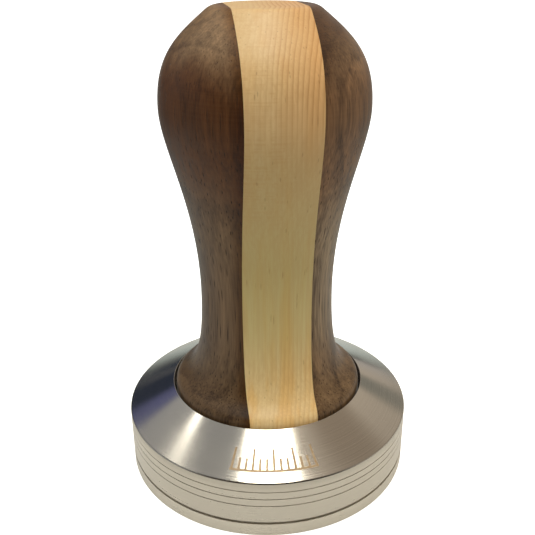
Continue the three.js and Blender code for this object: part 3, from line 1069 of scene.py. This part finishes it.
class TAMPER_OT_build_staves(bpy.types.Operator):
    """Turn the handle and slice it into its three glued staves"""

    bl_idname = "tamper.build_staves"
    bl_label = "Build Staves"

    def execute(self, context):
        s = context.scene.tamper_handle
        left = walnut_finish("walnut_left", s, LEFT_BOARD)
        right = walnut_finish("walnut_right", s, RIGHT_BOARD)
        rows = [
            ("walnut_stave_l", -BULB_RADIUS - MM, -GLUE_PLANE, left, "walnut_stave_left", "walnut"),
            ("maple_stave", -GLUE_PLANE, GLUE_PLANE, maple_finish(s), "maple_stave_center", "maple"),
            ("walnut_stave_r", GLUE_PLANE, BULB_RADIUS + MM, right, "walnut_stave_right", "walnut"),
        ]
        handle = turned_bmesh(self.outline(context), HANDLE_SEGMENTS)
        for name, low, high, finish, node, slot in rows:
            bm = handle.copy()
            trim(bm, (low, 0, 0), (-1, 0, 0))
            trim(bm, (high, 0, 0), (1, 0, 0))
            piece = piece_from(bm, name, [finish])
            hand_over(piece, "handle", [node])
        handle.free()
        return {"FINISHED"}

    @staticmethod
    def outline(context):
        """The handle's outline with its bore, as turned_bmesh takes it."""
        s = context.scene.tamper_handle
        j = context.scene.tamper_joint
        fit = 0.15 * MM
        bore = j.wood_radius + fit
        pocket = FLANGE_RADIUS + fit
        pocket_top = FOOT_BOTTOM + j.flange_thickness + fit
        bore_top = FOOT_BOTTOM + j.insert_bore
        inside = [
            (0, bore_top, 0, 0),
            (bore, bore_top, 0.3 * MM, 0),
            (bore, pocket_top, 0, 0),
            (pocket, pocket_top, 0, 0),
            (pocket, FOOT_BOTTOM, 0.05 * MM, 0),
            (s.foot_radius, FOOT_BOTTOM, s.foot_break, 0),
            (s.foot_radius, s.flare_start, 0, 0),
        ]
        foot, waist = Vector((s.foot_radius, s.flare_start)), Vector((s.waist_radius, s.waist_height))
        bulb, top = Vector((BULB_RADIUS, s.bulb_height)), Vector((s.top_radius, TOP_HEIGHT))
        shoulder = top + Vector((s.shoulder_out, -s.shoulder_down))
        up = Vector((0, 1))
        arcs = [
            (foot, foot + up * s.flare_rise, waist - up * s.flare_reach, waist, FLARE_STEPS),
            (waist, waist + up * s.neck_rise, bulb - up * s.neck_fall, bulb, NECK_STEPS),
            (bulb, bulb + up * s.bulb_rise, shoulder, top, SHOULDER_STEPS),
        ]
        side = []
        for *pulls, steps in arcs:
            spots = geometry.interpolate_bezier(*(pull.to_3d() for pull in pulls), steps)
            side += [(spot.x, spot.y) for spot in spots[1:]]
        corner = Vector(side[-1])
        kept = [p for p in side if (Vector(p) - corner).length > s.top_softening]
        begin, finish = Vector(kept[-1]), corner - Vector((s.top_softening, 0))
        rounded = []
        for step in range(1, TOP_STEPS + 1):
            t = step / TOP_STEPS
            spot = begin.lerp(corner, t).lerp(corner.lerp(finish, t), t)
            rounded.append((spot.x, spot.y))
        outer = [(radius, height, 0, 0.0) for radius, height in kept + rounded]
        flat = [(s.top_radius * 0.6, TOP_HEIGHT, 0, 0.0), (0.0, TOP_HEIGHT, 0, 0.0)]
        return filleted(inside) + outer + flat


# ------------------------------------------------------------------ stage

LIGHT_COLOUR = (1.0, 0.97, 0.885)

# Painted shade on the floor: it is made darker away from the axis in some bearings, standing
# in for the light falling off, so that the steel reflects and the wood takes up less light
# there. Each row: a bearing, the distances from the axis where the change starts and ends,
# how full it is, its colour and how that is mixed in.
FLOOR_PAINTED_SHADE = (
    (180, 0.045, 0.12, 1.0, (0.24, 0.235, 0.225), "MIX"),
    (-30, 0.05, 0.26, 0.86, (0.04, 0.045, 0.055), "MIX"),
    (22, 0.02, 0.30, 0.45, (0.20, 0.19, 0.17), "MIX"),
    (0, 0.03, 0.09, 1.0, (0.70, 0.82, 0.88), "MULTIPLY"),
)

# The room's colour low down and high up, and its patches: a bearing, an elevation, where
# the patch's edge starts and ends in degrees from its middle, and its colour.
ROOM_LOW = (0.45, 0.455, 0.475)
ROOM_HIGH = (0.35, 0.35, 0.355)
ROOM_PATCHES = (
    (64, 38, 66, 32, (0.52, 0.455, 0.385)),
    (68, 54, 20, 5, (0.33, 0.27, 0.215)),
    (39, 17, 10, 1, (0.25, 0.245, 0.22)),
    (180, 12, 70, 46, (0.06, 0.045, 0.034)),
    (-30, 5, 34, 22, (0.030, 0.038, 0.062)),
    (-29, 6, 5, 1, (0.085, 0.09, 0.105)),
    (-48, 23, 9, 2, (0.13, 0.14, 0.30)),
)


def heading(context, bearing, elevation):
    """A direction in the room: degrees to the right of straight back, and degrees up."""
    turn = context.scene.tamper_stage.camera_turn - math.radians(bearing)
    rise = math.radians(elevation)
    across = math.cos(rise)
    return (-math.sin(turn) * across, math.cos(turn) * across, math.sin(rise))


class TAMPER_OT_build_stage(bpy.types.Operator):
    """Lay the pale floor, hang the soft lights and set the camera"""

    bl_idname = "tamper.build_stage"
    bl_label = "Build Stage"

    def execute(self, context):
        s = context.scene.tamper_stage
        self.floor(context, s)
        self.surroundings(context)
        turn = Matrix.Rotation(s.camera_turn, 4, "Z")
        self.softbox(turn, "overhead_softbox", (0.010, -0.10, 0.9), 0, (0.371, 0.8), s.key_power)
        self.softbox(turn, "side_strip", (-0.685, 0.25, 0.9), 0, (0.085, 0.9), s.side_power)
        place = (0.05, -0.80, 0.78)
        front = self.softbox(turn, "front_softbox", place, 48, (0.55, 0.35), s.front_power)
        front.visible_glossy = False
        self.camera(context, turn, s)
        context.scene.view_settings.view_transform = "Standard"
        context.scene.view_settings.look = "None"
        return {"FINISHED"}

    @staticmethod
    def floor(context, s):
        """A pale matt floor under the sole, with painted shade where it darkens away from the axis."""
        half = 2.0
        mesh = bpy.data.meshes.new("floor")
        corners = [(-half, -half, 0), (half, -half, 0), (half, half, 0), (-half, half, 0)]
        mesh.from_pydata(corners, [], [(0, 1, 2, 3)])
        material, g, shader, place = new_material("floor_card")
        tone = g.blend(g.noise(place, 9.0, 3.0), scaled(s.floor_colour, 0.985), opaque(s.floor_colour))
        for bearing, start, end, share, shade, mode in FLOOR_PAINTED_SHADE:
            away = g.dot(place, heading(context, bearing, 0))
            tone = g.blend(g.ramp(away, start, end, 0.0, share), tone, opaque(shade), mode)
        seen = g.add("ShaderNodeLightPath").outputs["Is Camera Ray"]
        glow = g.ramp(g.radius(place), 0.03, 0.12, 1.35, 1.9)
        look = {
            "Base Color": tone,
            "Roughness": 0.9,
            "Emission Color": opaque(s.floor_colour),
            "Emission Strength": g.times(seen, glow),
        }
        g.feed(shader, look)
        mesh.materials.append(material)
        floor = bpy.data.objects.new("floor", mesh)
        floor.location.z = -0.02 * MM
        context.scene.collection.objects.link(floor)

    @staticmethod
    def surroundings(context):
        """A soft room: pale ceiling, warm right side, dim corner at the back left."""
        world = bpy.data.worlds.new("soft_room")
        world.use_nodes = True
        context.scene.world = world
        g = Graph(world.node_tree)
        background = world.node_tree.nodes["Background"]
        look = g.add("ShaderNodeTexCoord").outputs["Generated"]
        height = g.parts(look)[2]
        colour = g.blend(g.ramp(height, 0.2, 0.95), opaque(ROOM_LOW), opaque(ROOM_HIGH))
        for bearing, elevation, outer, inner, shade in ROOM_PATCHES:
            aim = heading(context, bearing, elevation)
            limits = math.cos(math.radians(outer)), math.cos(math.radians(inner))
            colour = g.blend(g.ramp(g.dot(look, aim), *limits), colour, opaque(shade))
        seen = g.add("ShaderNodeLightPath").outputs["Is Camera Ray"]
        g.feed(background, {"Color": g.blend(seen, colour, (1, 1, 1, 1)), "Strength": 1.0})

    @staticmethod
    def softbox(turn, name, place, degrees, size, power):
        """A rectangular light that looks straight down and is then tipped by some degrees."""
        light = bpy.data.lights.new(name, "AREA")
        light.shape = "RECTANGLE"
        light.size, light.size_y = size
        light.energy = power
        light.color = LIGHT_COLOUR
        lamp = bpy.data.objects.new(name, light)
        tipped = Matrix.Rotation(math.radians(degrees), 4, "X")
        lamp.matrix_world = turn @ Matrix.Translation(place) @ tipped
        bpy.context.scene.collection.objects.link(lamp)
        return lamp

    @staticmethod
    def camera(context, turn, s):
        """The camera in front of the tamper and above it, looking down."""
        data = bpy.data.cameras.new("camera")
        data.sensor_width = 36
        data.lens = s.camera_lens
        data.clip_start = 5 * MM
        camera = bpy.data.objects.new("camera", data)
        place = Matrix.Translation((0, -s.camera_back, s.camera_up))
        aside = Matrix.Rotation(s.camera_aside, 4, "Z")
        down = Matrix.Rotation(math.pi / 2 - s.camera_pitch, 4, "X")
        lean = Matrix.Rotation(s.camera_lean, 4, "Z")
        camera.matrix_world = turn @ place @ aside @ down @ lean
        context.scene.collection.objects.link(camera)
        context.scene.camera = camera


class TAMPER_PT_sidebar(bpy.types.Panel):
    """Lists the tamper's settings and its build steps"""

    bl_idname = "TAMPER_PT_sidebar"
    bl_label = "Tamper"
    bl_space_type = "VIEW_3D"
    bl_region_type = "UI"
    bl_category = "Tamper"

    def draw(self, context):
        for name, _ in SETTINGS:
            box = self.layout.box()
            settings = getattr(context.scene, name)
            for key in settings.__annotations__:
                box.prop(settings, key)
        for operator in OPERATORS:
            self.layout.operator(operator.bl_idname)


SETTINGS = (
    ("tamper_base", TamperBaseSettings),
    ("tamper_handle", TamperHandleSettings),
    ("tamper_joint", TamperJointSettings),
    ("tamper_stage", TamperStageSettings),
)
OPERATORS = (
    TAMPER_OT_build_base,
    TAMPER_OT_build_stud,
    TAMPER_OT_build_washer,
    TAMPER_OT_build_insert,
    TAMPER_OT_build_staves,
    TAMPER_OT_build_stage,
)


def register():
    for name, settings in SETTINGS:
        bpy.utils.register_class(settings)
        setattr(bpy.types.Scene, name, PointerProperty(type=settings))
    for shown in (*OPERATORS, TAMPER_PT_sidebar):
        bpy.utils.register_class(shown)


def unregister():
    for shown in (TAMPER_PT_sidebar, *reversed(OPERATORS)):
        bpy.utils.unregister_class(shown)
    for name, settings in reversed(SETTINGS):
        delattr(bpy.types.Scene, name)
        bpy.utils.unregister_class(settings)


def main():
    """Registers the add-on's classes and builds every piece."""
    register()
    bpy.ops.tamper.build_base()
    bpy.ops.tamper.build_stud()
    bpy.ops.tamper.build_washer()
    bpy.ops.tamper.build_insert()
    bpy.ops.tamper.build_staves()
    bpy.ops.tamper.build_stage()


if __name__ == "__main__":
    main()
